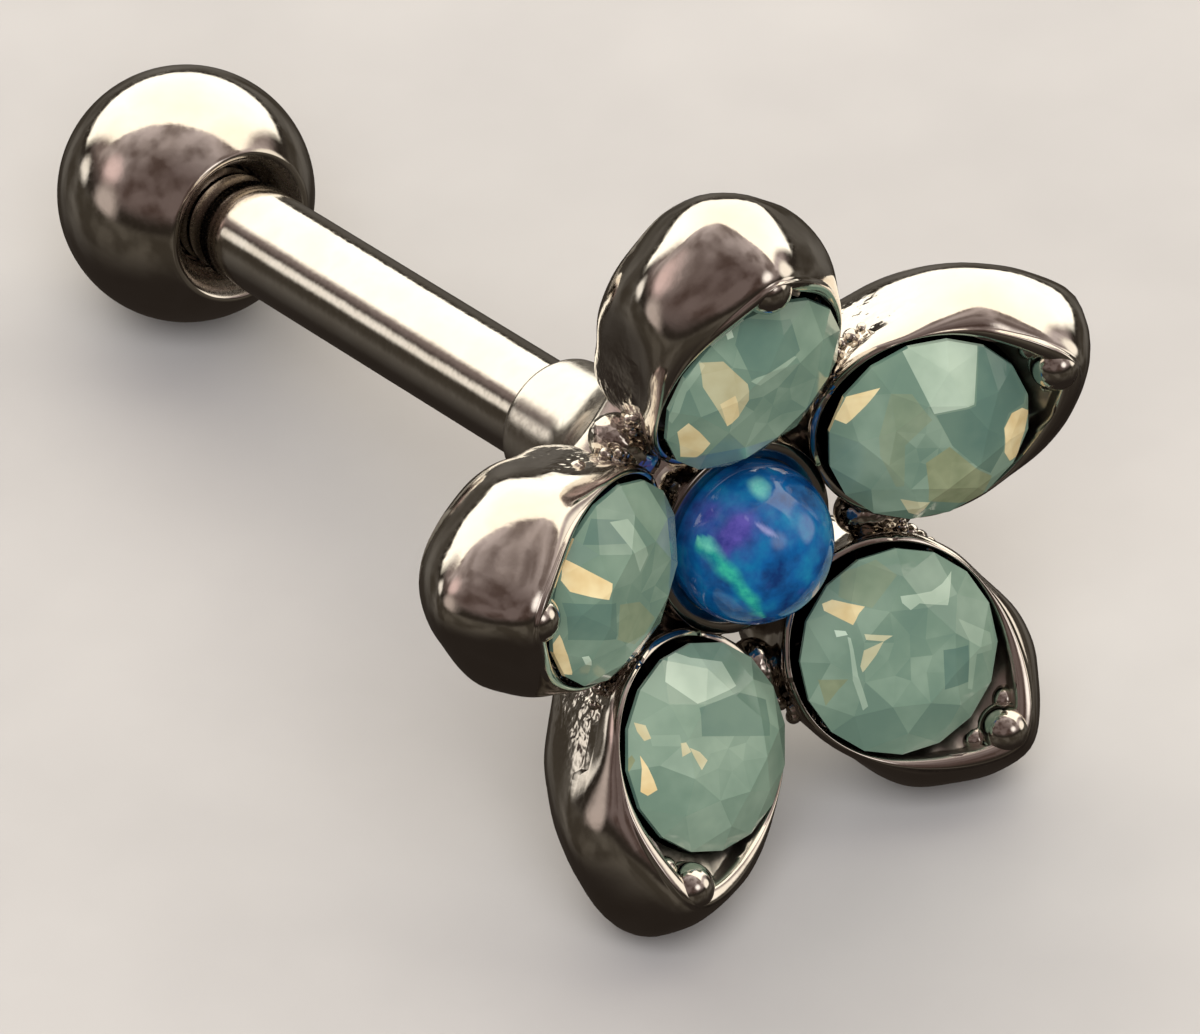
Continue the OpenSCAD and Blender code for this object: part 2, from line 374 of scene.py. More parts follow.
def add_lumps(shell, k, rand):
    """Small cast lumps where a web climbs its two petals, and beside the bead at the petal's tip."""
    for side in (-1, 1):
        for step in stations(0, 1, 8):
            a = petal_angle(k) + math.pi / PETALS + side * math.radians(12) * step + rand.uniform(-0.02, 0.02)
            r = 2 + 0.75 * step + rand.uniform(-0.05, 0.05)
            z = 3.56 + 0.22 * step + rand.uniform(-0.04, 0.04)
            place = Matrix.Translation((r * math.cos(a), r * math.sin(a), z))
            shell.lathe(ball_profile(rand.uniform(0.05, 0.1), 8), place, 14, pitted=lambda p: 1.0)
        for x, y, z, radius in BEAD_LUMPS:
            place = petal_place(k) @ Matrix.Translation((x, side * y, z + rand.uniform(-0.03, 0.03)))
            shell.lathe(ball_profile(radius, 10), place, 18)


def lobe(t):
    return (1 + math.cos(PETALS * t)) / 2


def calyx_reach(t, z):
    """A rounded step on the post and a slight taper, which flares into the petals' keels and closes above."""
    h = z - CALYX_FOOT
    step = CALYX_STEP * math.sqrt(1 - (1 - min(h / CALYX_STEP_H, 1)) ** 2)
    flare = clamp((z - CALYX_FLARE_FROM) / (CALYX_TOP - CALYX_FLARE_FROM)) ** 2
    closing = 0.9 * max(0, z - CALYX_TOP) ** 2
    return POST_R + 0.01 + step + CALYX_TAPER * h + (CALYX_FLARE + CALYX_LOBE * lobe(t)) * flare - closing


def add_calyx(shell):
    around = 150
    step_top = CALYX_FOOT + CALYX_STEP_H
    levels = [CALYX_FOOT + CALYX_STEP_H * s * s for s in stations(0, 1, 8)]
    levels += stations(step_top, CALYX_TOP, 32)[1:] + stations(CALYX_TOP, CALYX_END, 12)[1:]
    turns = [2 * math.pi * i / around for i in range(around)]
    rings = []
    for z in levels:
        spokes = [(t + petal_angle(0), calyx_reach(t, z)) for t in turns]
        rings.append([(r * math.cos(a), r * math.sin(a), z, 0) for a, r in spokes])
    shell.skin(rings, satin=lambda p: 0.3)


def add_opal_cup(shell):
    """A rim round the opal and a round hollow under it, both with painted shade."""
    lip = OPAL_REACH - 0.1
    hollow = OPAL_R + 0.03
    profile = [(1.35, 2, 0.3), (1.13, lip - 0.03, 0.5), (1.1, lip, 0.5)]
    for a in stations(math.asin((lip - 0.02 - OPAL_REACH) / hollow), -1.5, 16):
        profile.append((hollow * math.cos(a), OPAL_REACH + hollow * math.sin(a), 0.25))
    shell.lathe(profile)


def add_post(shell):
    profile = [(POST_R, z, 0) for z in stations(0.6, SHANK_END, 24)]
    # Painted shade in the roots of the thread
    for i in range(int(THREAD_LEN / THREAD_PITCH)):
        z = POST_END + THREAD_LEN - i * THREAD_PITCH
        profile += [(ROOT_R, z, 0.5), (CREST_R - 0.01, z - THREAD_PITCH * 0.46, 0),
                    (CREST_R, z - THREAD_PITCH * 0.5, 0), (CREST_R - 0.01, z - THREAD_PITCH * 0.54, 0)]
    profile.append((ROOT_R, POST_END, 0))
    shell.lathe(profile)


def build_flower(material):
    shell = Shell()
    add_post(shell)
    add_calyx(shell)
    add_opal_cup(shell)
    rand = random.Random(LUMP_SEED)
    for k in range(PETALS):
        add_petal(shell, k)
        add_web(shell, k)
        add_lumps(shell, k, rand)
    return shell.make("flower_metal", "barbell", "polished_steel", material, "flower_post")


def bend(a, b, c, count):
    """(radius, height, painted shade) of a curve without painted shade from a to c that is drawn towards b."""
    points = [a * (1 - s) ** 2 + b * (2 * s * (1 - s)) + c * s * s for s in stations(0, 1, count)]
    return [(p.x, p.y, 0) for p in points]


def in_countersink(p):
    """The countersink and its hole are left with a duller finish than the ball."""
    return 0.5 if p.z > BALL_MIDDLE + 0.7 and p.to_2d().length < COUNTERSINK_R - 0.03 else 0.0


def build_ball(material):
    """A ball with a countersunk blind hole that faces the flower."""
    mouth = math.asin(COUNTERSINK_R / BALL_R)
    brink = math.pi - mouth - 0.05
    edge = Vector((COUNTERSINK_R - 0.01, BALL_R * math.cos(mouth)))
    deep = Vector((HOLE_R, edge.y - COUNTERSINK_DEPTH))
    profile = [(BALL_R * math.sin(a), -BALL_R * math.cos(a), 0) for a in stations(0.02, brink, 90)]
    profile += bend(Vector(profile[-1][:2]), edge, edge.lerp(deep, 0.35), 8)[1:]
    profile += bend(edge.lerp(deep, 0.5), deep, deep - Vector((0, 0.15)), 10)
    # Painted shade at the bottom of the hole
    profile.append((HOLE_R, -POST_PAST_MIDDLE - HOLE_END_GAP, 0.5))
    shell = Shell()
    shell.lathe(profile, Matrix.Translation((0, 0, BALL_MIDDLE)), 160, satin=in_countersink)
    return shell.make("polished_ball", "ball", "polished_steel", material, "screw_ball")


# Materials

class Nodes:
    """A small helper that adds linked nodes to one material or world."""

    def __init__(self, owner, shader):
        self.owner = owner
        owner.use_nodes = True
        self.tree = owner.node_tree
        self.shader = self.tree.nodes[shader]

    def add(self, kind, inputs=None, **settings):
        node = self.tree.nodes.new(kind)
        for key, value in settings.items():
            setattr(node, key, value)
        for key, value in (inputs or {}).items():
            self.put(node.inputs[key], value)
        return node

    def put(self, socket, value):
        if isinstance(value, bpy.types.NodeSocket):
            self.tree.links.new(value, socket)
        elif isinstance(value, tuple) and len(value) == 3 and socket.type == "RGBA":
            socket.default_value = (*value, 1)
        else:
            socket.default_value = value

    def feed(self, socket, value):
        self.put(self.shader.inputs[socket], value)

    def coordinates(self, scale=1.0, location=(0, 0, 0)):
        source = self.add("ShaderNodeTexCoord").outputs["Object"]
        moved = self.add("ShaderNodeVectorMath", {0: source, 1: location}, operation="SUBTRACT").outputs[0]
        return self.add("ShaderNodeVectorMath", {0: moved, "Scale": scale}, operation="SCALE").outputs[0]

    def noise(self, vector, scale, detail=3.0, roughness=0.5):
        return self.add("ShaderNodeTexNoise", {"Vector": vector, "Scale": scale, "Detail": detail,
                                               "Roughness": roughness}).outputs["Fac"]

    def ramp(self, factor, stops):
        node = self.add("ShaderNodeValToRGB", {"Fac": factor})
        elements = node.color_ramp.elements
        while len(elements) < len(stops):
            elements.new(0.5)
        for element, (place, colour) in zip(elements, stops):
            element.position = place
            element.color = (*colour, 1)
        return node.outputs["Color"]

    def mix(self, factor, first, second):
        node = self.add("ShaderNodeMix", data_type="RGBA", blend_type="MIX")
        for index, value in ((0, factor), (6, first), (7, second)):
            self.put(node.inputs[index], value)
        return node.outputs[2]

    def maths(self, operation, *values):
        return self.add("ShaderNodeMath", dict(enumerate(values)), operation=operation).outputs[0]

    def vectors(self, operation, first, second):
        return self.add("ShaderNodeVectorMath", {0: first, 1: second}, operation=operation).outputs["Value"]

    def rise(self, value, low, high, first=0.0, last=1.0):
        """Goes smoothly from first to last as the value goes from low to high."""
        return self.add("ShaderNodeMapRange", {0: value, 1: low, 2: high, 3: first, 4: last},
                        interpolation_type="SMOOTHSTEP").outputs[0]

    def attribute(self, name):
        return self.add("ShaderNodeAttribute", attribute_name=name).outputs["Fac"]

    def bump(self, height, strength, distance, normal=None):
        inputs = {"Height": height, "Strength": strength, "Distance": distance}
        if normal:
            inputs["Normal"] = normal
        return self.add("ShaderNodeBump", inputs).outputs["Normal"]


def new_material(name):
    return Nodes(bpy.data.materials.new(name), "Principled BSDF")


# (place on the ramp, colour)
SILVERS = ((0.3, (0.61, 0.56, 0.50)), (0.52, (0.67, 0.63, 0.58)), (0.75, (0.57, 0.52, 0.46)))
GREENS = ((0.0, (0.095, 0.180, 0.152)), (0.35, (0.175, 0.275, 0.212)),
          (0.65, (0.300, 0.415, 0.325)), (1.0, (0.560, 0.700, 0.570)))
OLIVES = ((0.3, (0.22, 0.25, 0.13)), (0.7, (0.32, 0.35, 0.20)))
GOLDS = ((0.3, (0.78, 0.60, 0.30)), (0.7, (0.92, 0.80, 0.48)))
BLUES = ((0.32, (0.004, 0.03, 0.13)), (0.5, (0.005, 0.095, 0.29)), (0.7, (0.008, 0.20, 0.37)))
PALE_GREYS = ((0.3, (0.46, 0.46, 0.47)), (0.7, (0.51, 0.51, 0.52)))

# Brown of the painted shade in casting pores
PORE_SHADE_BROWN = (0.22, 0.16, 0.12)
# Black of the painted shade in seats, hollows and thread roots
PAINTED_SHADE_BLACK = (0.03, 0.025, 0.023)
SATIN_ROUGHNESS = 0.36

# (mark on the opal, its darker colour, its lighter colour)
OPAL_COLOURS = (("violet", (0.03, 0.035, 0.22), (0.09, 0.075, 0.36)),
                ("green", (0.005, 0.20, 0.26), (0.04, 0.46, 0.32)),
                ("mint_and_sheen", (0.10, 0.50, 0.44), (0.26, 0.72, 0.58)),
                ("lavender_reflection", (0.28, 0.28, 0.62), (0.50, 0.50, 0.80)))


def polished_metal():
    n = new_material("polished_metal")
    where = n.coordinates(1 / MM)
    cloud = n.noise(where, 0.9, 4)
    grain = n.noise(where, 16, 3)
    silver = n.ramp(cloud, SILVERS)
    cast = n.attribute("pitted")
    # Casting pores on the webs are dented by bumps and painted brown as shade in the pits
    pores = n.add("ShaderNodeTexVoronoi", {"Vector": where, "Scale": 7}).outputs["Distance"]
    pore_depth = n.maths("MULTIPLY", n.rise(pores, 0.0, 0.16, 1.0, 0.0), cast)
    pore_shaded = n.mix(pore_depth, silver, PORE_SHADE_BROWN)
    # The painted shade attribute darkens the metal towards black in seats, hollows and thread roots
    n.feed("Base Color", n.mix(n.attribute("dark"), pore_shaded, PAINTED_SHADE_BLACK))
    n.feed("Metallic", 1.0)
    polish = n.rise(grain, 0.3, 0.7, 0.05, 0.13)
    n.feed("Roughness", n.maths("MULTIPLY_ADD", n.attribute("satin"), SATIN_ROUGHNESS, polish))
    lumps = n.maths("MULTIPLY", n.noise(where, 4.5, 2), cast)
    rolling = n.bump(cloud, 0.2, 0.05 * MM)
    lumpy = n.bump(lumps, 0.8, 0.06 * MM, rolling)
    porous = n.bump(pore_depth, -0.6, 0.03 * MM, lumpy)
    n.feed("Normal", n.bump(grain, 0.12, 0.004 * MM, porous))
    return n.owner


def milky_crystal():
    n = new_material("milky_crystal")
    where = n.coordinates(1 / MM)
    milk = n.noise(where, 1.6, 3)
    cloudy = n.maths("ADD", n.attribute("tone"), n.rise(milk, 0.3, 0.7, -0.09, 0.09))
    green = n.ramp(cloudy, GREENS)
    streaks = n.noise(where, 4, 2)
    # The gold and olive attributes, and the tone of pale and teal facets, carry painted reflections
    with_olive = n.mix(n.attribute("olive"), green, n.ramp(streaks, OLIVES))
    n.feed("Base Color", n.mix(n.attribute("gold"), with_olive, n.ramp(streaks, GOLDS)))
    n.feed("Roughness", n.rise(n.noise(where, 9, 2), 0.3, 0.7, 0.03, 0.08))
    n.feed("IOR", 1.58)
    n.feed("Normal", n.bump(n.noise(where, 22, 2), 0.05, 0.01 * MM))
    return n.owner


def blue_opal(centre):
    n = new_material("blue_opal")
    where = n.coordinates(1 / (OPAL_R * MM), centre)
    swirl = n.noise(where, 1.9, 4, 0.6)
    fleck = n.noise(where, 4.5, 4, 0.6)
    colour = n.ramp(swirl, BLUES)
    for label, low, high in OPAL_COLOURS:
        colour = n.mix(n.attribute(label), colour, n.ramp(fleck, ((0.35, low), (0.62, high))))
    n.feed("Base Color", colour)
    # A faint glow in the opal's own colour: painted light
    n.feed("Emission Color", colour)
    n.feed("Emission Strength", 0.12)
    n.feed("Roughness", n.rise(fleck, 0.3, 0.7, 0.03, 0.09))
    n.feed("IOR", 1.45)
    n.feed("Coat Weight", 0.6)
    n.feed("Coat Roughness", 0.03)
    n.feed("Normal", n.bump(fleck, 0.08, 0.01 * MM))
    return n.owner


def pale_surface():
    n = new_material("pale_surface")
    where = n.coordinates(1 / MM)
    n.feed("Base Color", n.ramp(n.noise(where, 0.25, 4), PALE_GREYS))
    n.feed("Roughness", n.rise(n.noise(where, 0.6, 3), 0.3, 0.7, 0.5, 0.6))
    return n.owner


# Stones

TABLE_R = STONE_R * 0.5
CORNER_R = STONE_R * 0.76
KITE_SLOPE = (CROWN_H - GIRDLE_H) / (STONE_R - TABLE_R)
CORNER_H = GIRDLE_H + (STONE_R - CORNER_R * math.cos(math.pi / 8)) * KITE_SLOPE
PAVILION_TONE = 0.1
FACET_SEED = 40

STONE_TURNS = (11, 28, 45, 62, 79)
STONE_TONES = (0.36, 0.36, 0.47, 0.38, 0.39)

# Painted reflections on each stone's crown: kind, strength and outline in the petal's own frame. Gold and olive
# ones are painted flashes in those colours, lime ones are gold over a lighter green, pale ones are painted
# highlights in a lighter green and teal ones are painted in a deeper green
PAINTED_REFLECTIONS = (
    (("gold", 0.45, ((0.8, 0.79), (0.8, 0.56), (0.5, 0.35), (0.27, 0.34), (0.07, 0.47), (0, 0.59),
                     (0.53, 0.8))),
     ("gold", 0.75, ((0.31, 0.66), (0.4, 0.5), (0.09, 0.45), (-0.01, 0.59))),
     ("gold", 0.8, ((-0.08, 1.05), (0.07, 0.96), (-0.09, 0.84), (-0.29, 0.72), (-0.55, 0.81),
                    (-0.55, 0.95))),
     ("pale", 0.4, ((0.52, 0.31), (0.67, -0.11), (0.56, -0.3), (0.49, -0.05), (0.42, 0.2))),
     ("pale", 0.9, ((1.08, 0.45), (1.08, 0.38), (1, 0.38), (0.99, 0.45))),
     ("pale", 0.3, ((0.11, 1.15), (0.57, 1.01), (0.82, 0.78), (0.77, 0.74), (0.48, 0.96), (0.05, 1.1))),
     ("teal", 0.6, ((1.16, 0.24), (0.94, -0.33), (0.59, -0.36), (0.54, 0.3), (0.93, 0.39)))),
    (("gold", 1, ((1.03, -0.54), (0.55, -0.24), (0.58, -0.06), (0.78, -0.11), (0.99, -0.18),
                  (1.08, -0.31))),
     ("gold", 0.9, ((1.09, 0.57), (1.02, 0.32), (0.9, 0.52), (0.66, 0.88), (1, 0.8))),
     ("teal", 0.8, ((0.64, -0.91), (0.26, -0.85), (0.28, -0.62), (0.82, -0.67))),
     ("pale", 0.4, ((0.43, -0.85), (0.19, -0.85), (-0.05, -0.43), (0.07, -0.26))),
     ("pale", 0.9, ((0.69, 0.63), (0.62, 0.62), (0.5, 0.77), (0.6, 0.74))),
     ("olive", 0.5, ((0.38, 0.04), (0, 0.1), (-0.34, 0.37), (-0.06, 0.62), (0.33, 0.46))),
     ("teal", 0.6, ((1.06, -0.06), (0.46, 0), (0.35, 0.45), (0.92, 0.39)))),
    (("pale", 0.75, ((-0.94, -0.72), (-0.9, -0.5), (-0.93, -0.09), (-0.69, 0.04), (-0.4, -0.5),
                     (-0.58, -0.82), (-0.77, -0.78))),
     ("gold", 1, ((0.26, -1), (0.59, -0.73), (0.67, -0.8), (0.64, -0.88))),
     ("gold", 0.6, ((-0.08, -1.11), (-0.07, -1), (0.06, -0.93), (0.1, -0.99), (0.01, -1.07))),
     ("olive", 0.9, ((0.45, -1.17), (0.27, -1.07), (0.32, -1.03), (0.5, -1.07), (0.61, -1.09))),
     ("lime", 0.5, ((0.06, -0.65), (0.04, -0.6), (0.13, -0.52), (0.2, -0.6))),
     ("lime", 0.5, ((0.09, -0.55), (0.11, -0.4), (0.18, -0.27), (0.3, -0.33), (0.19, -0.45))),
     ("pale", 0.3, ((0.03, -0.95), (-0.03, -0.67), (0.09, -0.63), (0.14, -0.91))),
     ("pale", 0.6, ((-0.47, -0.11), (-0.48, -0.03), (-0.41, 0.02), (-0.37, -0.07))),
     ("teal", 0.5, ((-0.36, -0.48), (-0.62, 0.04), (-0.63, 0.58), (-0.24, 0.61), (-0.06, -0.4)))),
    (("olive", 0.35, ((-1.1, 0.32), (-0.87, 0.66), (-0.62, 0.65), (-0.68, 0.19), (-1.01, 0.08))),
     ("gold", 0.9, ((-1.09, -0.08), (-1.04, 0.02), (-0.75, 0.16), (-0.76, 0.06), (-0.74, -0.08),
                    (-1.04, -0.13))),
     ("pale", 0.65, ((-0.49, 0.48), (-0.2, 0.73), (-0.12, 0.87), (-0.07, 1.05), (0.04, 0.71), (-0.27, 0.54),
                     (-0.32, 0.42), (-0.44, 0.43))),
     ("pale", 1, ((-0.85, -0.24), (-0.76, -0.18), (-0.72, -0.2), (-0.79, -0.29))),
     ("lime", 0.4, ((-0.6, -0.09), (-0.32, 0.08), (-0.37, -0.03), (-0.55, -0.13))),
     ("lime", 0.4, ((-0.5, -0.24), (-0.37, -0.03), (-0.35, -0.2), (-0.36, -0.44), (-0.42, -0.4))),
     ("pale", 0.6, ((-0.71, -0.22), (-0.68, -0.21), (-0.37, -0.5), (-0.05, -0.7), (-0.06, -0.77),
                    (-0.38, -0.57))),
     ("olive", 0.7, ((-0.64, -0.78), (-0.42, -0.59), (-0.41, -0.75), (-0.38, -0.96))),
     ("teal", 0.9, ((0.27, 0.28), (0.51, 0.49), (0.79, 0.17), (0.56, -0.06))),
     ("pale", 0.3, ((0.23, 0.66), (0.73, 0.76), (0.87, 0.62), (0.68, 0.47), (0.91, 0.13), (0.84, 0.11),
                    (0.49, 0.54)))),
    (("teal", 0.7, ((0.94, 0.75), (1.11, 0.44), (1.17, -0.11), (1.05, -0.26), (0.85, -0.18), (0.72, -0.28),
                    (0.61, -0.58), (0.37, -0.79), (0.14, -0.07), (0.14, 0.41), (0.57, 0.24))),
     ("pale", 0.65, ((0.15, 1.15), (0.45, 1.12), (0.94, 0.77), (0.56, 0.27), (0.13, 0.44))),
     ("gold", 1, ((-0.62, 0.96), (-0.25, 0.94), (-0.47, 0.82), (-0.76, 0.69), (-0.85, 0.76))),
     ("gold", 0.95, ((0.73, -0.29), (0.88, -0.22), (1.01, -0.29), (1.06, -0.42), (0.84, -0.71),
                     (0.72, -0.9), (0.62, -0.87), (0.61, -0.63))),
     ("olive", 0.8, ((-0.2, -0.1), (0.11, -0.06), (0.37, -0.86), (0.1, -1.26), (-0.37, -0.65))),
     ("olive", 0.35, ((-0.18, 0.86), (0.02, 0.75), (0.08, 0.38), (-0.31, 0.25), (-0.53, -0.25),
                      (-0.61, -0.23), (-0.6, 0.26), (-0.51, 0.48))),
     ("lime", 0.5, ((-0.63, -0.47), (-0.36, -0.69), (-0.54, -0.9), (-0.62, -0.79)))))


def ring(count, r, z, turn, offset=0.0):
    angles = [2 * math.pi * i / count + turn + offset for i in range(count)]
    return [Vector((r * math.cos(a), r * math.sin(a), z)) for a in angles]


def brilliant(turn, tone, rand):
    """Points, faces and tones of a round brilliant, whose table is split as the facets below it show."""
    half_step = math.pi / 8
    points = (ring(8, TABLE_R, CROWN_H, turn) + ring(8, TABLE_R * 0.45, CROWN_H, turn, half_step)
              + ring(8, CORNER_R, CORNER_H, turn, half_step) + ring(16, STONE_R, GIRDLE_H, turn)
              + ring(16, STONE_R, 0, turn) + [Vector((0, 0, CROWN_H)), Vector((0, 0, -PAVILION_H))])
    inner, corner, upper, lower = 8, 16, 24, 40
    top, culet = len(points) - 2, len(points) - 1
    faces = []
    for i in range(8):
        j = (i + 1) % 8
        faces += [(top, inner + i, inner + j), (i, j, inner + i), (inner + i, j, inner + j),
                  (i, corner + i, j), (i, corner + (i + 7) % 8, upper + 2 * i, corner + i),
                  (corner + i, upper + 2 * i, upper + 2 * i + 1),
                  (corner + i, upper + 2 * i + 1, upper + (2 * i + 2) % 16)]
    tones = [tone + rand.uniform(-0.1, 0.1) for _ in faces]
    for i in range(16):
        j = (i + 1) % 16
        faces += [(upper + i, lower + i, lower + j, upper + j), (lower + i, culet, lower + j)]
        tones += [PAVILION_TONE, PAVILION_TONE]
    return points, faces, tones


def overlaps(face, outline):
    """Whether a facet is one of the crown and may meet an outline."""
    for axis in range(2):
        own = [v.co[axis] for v in face.verts]
        other = [p[axis] for p in outline]
        if max(own) < min(other) or min(own) > max(other):
            return False
    return min(v.co.z for v in face.verts) > GIRDLE_H / 2


def holds(outline, x, y):
    """Whether an outline goes round a point."""
    inside = False
    for (ax, ay), (bx, by) in zip(outline, outline[1:] + outline[:1]):
        if (ay > y) != (by > y) and x < (bx - ax) * (y - ay) / (by - ay) + ax:
            inside = not inside
    return inside


def cut_along(cut, outline):
    """Cuts the facets of the crown along each side of an outline."""
    for (ax, ay), (bx, by) in zip(outline, outline[1:] + outline[:1]):
        near = [f for f in cut.faces if overlaps(f, outline)]
        around = {e for f in near for e in f.edges} | {v for f in near for v in f.verts}
        bmesh.ops.bisect_plane(cut, geom=near + list(around), dist=1e-4, plane_co=(ax, ay, 0),
                               plane_no=(by - ay, ax - bx, 0))


def build_stone(k, material):
    """A round brilliant whose crown is cut along the outlines of the painted reflections on it."""
    rand = random.Random(FACET_SEED + k)
    points, faces, tones = brilliant(math.radians(STONE_TURNS[k]), STONE_TONES[k], rand)
    cut = bmesh.new()
    tone, gold, olive = (cut.faces.layers.float.new(label) for label in ("tone", "gold", "olive"))
    corners = [cut.verts.new(p) for p in points]
    for indices, value in zip(faces, tones):
        cut.faces.new([corners[i] for i in indices])[tone] = value
    for _, _, outline in PAINTED_REFLECTIONS[k]:
        cut_along(cut, outline)
    for face in cut.faces:
        middle = face.calc_center_median()
        for kind, strength, outline in PAINTED_REFLECTIONS[k]:
            if middle.z < GIRDLE_H / 2 or not holds(outline, middle.x, middle.y):
                continue
            # Painted reflections: gold and lime facets take a gold flash, olive ones a dull olive one, pale
            # ones a lighter green highlight and teal ones a deeper green
            if kind in ("gold", "lime"):
                face[gold] = strength
            if kind == "olive":
                face[olive] = strength
            if kind in ("pale", "lime"):
                face[tone] = 0.4 + 0.6 * strength
            if kind == "teal":
                face[tone] = 0.35 - 0.3 * strength
    mesh = bpy.data.meshes.new(f"cut_stone_{k + 1}")
    cut.transform(LAID @ petal_place(k))
    cut.to_mesh(mesh)
    cut.free()
    mesh.materials.append(material)
    obj = bpy.data.objects.new(mesh.name, mesh)
    bpy.context.scene.collection.objects.link(obj)
    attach(obj, "barbell")
    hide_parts(f"petal_stone_{k + 1}")


# Marks on the side of the opal that the camera sees, at (x to the right, y down) in radii. The first three
# values are the camera's own directions. The mint sheen near the top and the lavender patch are painted
# reflections

SIGHT_RIGHT = Vector((0.81356, -0.58042, -0.03521))
SIGHT_DOWN = Vector((-0.39313, -0.5044, -0.76878))
SIGHT_NEAR = Vector((-0.42845, -0.63929, 0.63854))
STREAK_START = Vector((-0.6, -0.02))
STREAK_END = Vector((0.15, 0.9))
STREAK_LINE = STREAK_END - STREAK_START
STREAK_HALF_W = 0.085
STREAK_NARROWING = 0.03
STREAK_HEAD = STREAK_START * 0.85
STREAK_HEAD_R = 0.12
CLOUD_PLACE = Vector((-0.35, -0.12))
MINT_SHEEN_PLACE = Vector((0.06, -0.62))
MINT_SHEEN_R = 0.09
LAVENDER_REFLECTION_PLACE = Vector((0.22, -0.1))
LAVENDER_REFLECTION_R = 0.1


def in_sight(d):
    return Vector((d.dot(SIGHT_RIGHT), d.dot(SIGHT_DOWN)))


def streak(d):
    offset = in_sight(d) - STREAK_START
    along = offset.dot(STREAK_LINE) / STREAK_LINE.length_squared
    ragged = 0.05 * noise.noise(d * 4)
    ends = clamp(12 * (along + 0.04)) * clamp(6 * (1.05 - along))
    width = (STREAK_HALF_W - STREAK_NARROWING * along) * ends
    off_line = abs(offset.x * STREAK_LINE.y - offset.y * STREAK_LINE.x) / STREAK_LINE.length + ragged
    return clamp((1.7 - off_line / max(width, 0.001)) / 1.3)


def cloud(d):
    patch = noise.noise(d * 3.2) + 0.45
    return clamp((1.0 - (in_sight(d) - CLOUD_PLACE).length * 1.9) * patch * 1.8)


# The green streak's mint head, and a mint painted reflection near the top
def mint_and_sheen(d):
    spot = 1.6 - ((in_sight(d) - MINT_SHEEN_PLACE).length + 0.1 * noise.noise(d * 4)) / MINT_SHEEN_R
    head = 1.8 - ((in_sight(d) - STREAK_HEAD).length + 0.1 * noise.noise(d * 6)) / STREAK_HEAD_R
    return max(0.75 * clamp(spot), 0.6 * min(streak(d), clamp(head)))


# A pale lavender painted reflection
def lavender_reflection(d):
    offset = in_sight(d) - LAVENDER_REFLECTION_PLACE
    slanted = abs(offset.y - 0.6 * offset.x) * 2 + offset.length * 0.5
    return 0.55 * clamp(1.6 - (slanted + 0.14 * noise.noise(d * 6)) / LAVENDER_REFLECTION_R)


def build_opal():
    """The opal, with a streak of green and clouds of violet that lie in the stone, and painted reflections on
    its near side.
    """
    centre = LAID @ Vector((0, 0, OPAL_REACH))
    shell = Shell()
    shell.lathe(ball_profile(OPAL_R, 90), Matrix.Translation((0, 0, OPAL_REACH)), 180)
    obj = shell.make("opal_ball", "barbell", "blue_opal", blue_opal(centre), "centre_opal")
    directions = [(vertex.co - centre).normalized() for vertex in obj.data.vertices]
    for label, mark in (("green", streak), ("violet", cloud), ("mint_and_sheen", mint_and_sheen), ("lavender_reflection", lavender_reflection)):
        add_values(obj.data, label, [0.0 if d.dot(SIGHT_NEAR) < 0 else mark(d) for d in directions])


# Surface, light and camera

def build_stage():
    half = 2
    corners = [(-half, -half, 0), (half, -half, 0), (half, half, 0), (-half, half, 0)]
    mesh = bpy.data.meshes.new("surface")
    mesh.from_pydata(corners, [], [(0, 1, 2, 3)])
    mesh.materials.append(pale_surface())
    surface = bpy.data.objects.new("surface", mesh)
    bpy.context.scene.collection.objects.link(surface)
    surface.visible_glossy = False


# The room that the metal mirrors. Its screen stands on the far side, as the camera looks

ROOM_FAR = (0.556, 0.831, 0)
ROOM_RIGHT = (0.831, -0.556, 0)
ROOM_UP = (0, 0, 1)

# (darker, lighter) colours of the room's parts
WALL_BROWNS = ((0.085, 0.054, 0.045), (0.21, 0.16, 0.15))
GLOWING_BROWNS = ((0.27, 0.21, 0.19), (0.74, 0.63, 0.60))
SCREEN_WHITES = ((2.1, 2.0, 1.75), (2.0, 1.8, 1.5))
TABLE_GREYS = ((0.12, 0.105, 0.085), (0.17, 0.155, 0.135))
SKIRTING = (0.035, 0.028, 0.022)
CONTACT_SHADOW = (0.028, 0.022, 0.018)
TABLE_BLOTCH = (0.06, 0.05, 0.038)

# (direction, radius that is fully lit, radius where it ends, colour)
SOFT_WINDOWS = (((-0.762, 0.451, 0.465), 0.05, 0.26, (1.0, 0.75, 0.71)),
                ((-0.93, 0.35, 0.1), 0.1, 0.32, (0.62, 0.52, 0.47)),
                ((-0.57, 0.82, 0.03), 0.07, 0.18, (1.3, 1.22, 1.1)),
                ((0.17, -0.85, 0.49), 0.08, 0.28, (1.7, 1.58, 1.5)),
                ((0.85, -0.5, 0.18), 0.18, 0.34, (1.5, 1.38, 1.2)))

# The one lamp, which fills the shadows. Azimuth 0 is on the flower's side and 180 on the ball's
FILL_AZIMUTH = math.radians(-34)
FILL_ELEVATION = math.radians(48)
FILL_DISTANCE = 0.3
FILL_SIZE = 0.24
FILL_POWER = 0.75
FILL_COLOUR = (1.0, 0.99, 0.97)
FILL_AIM = Vector((0, 0, 0.003))


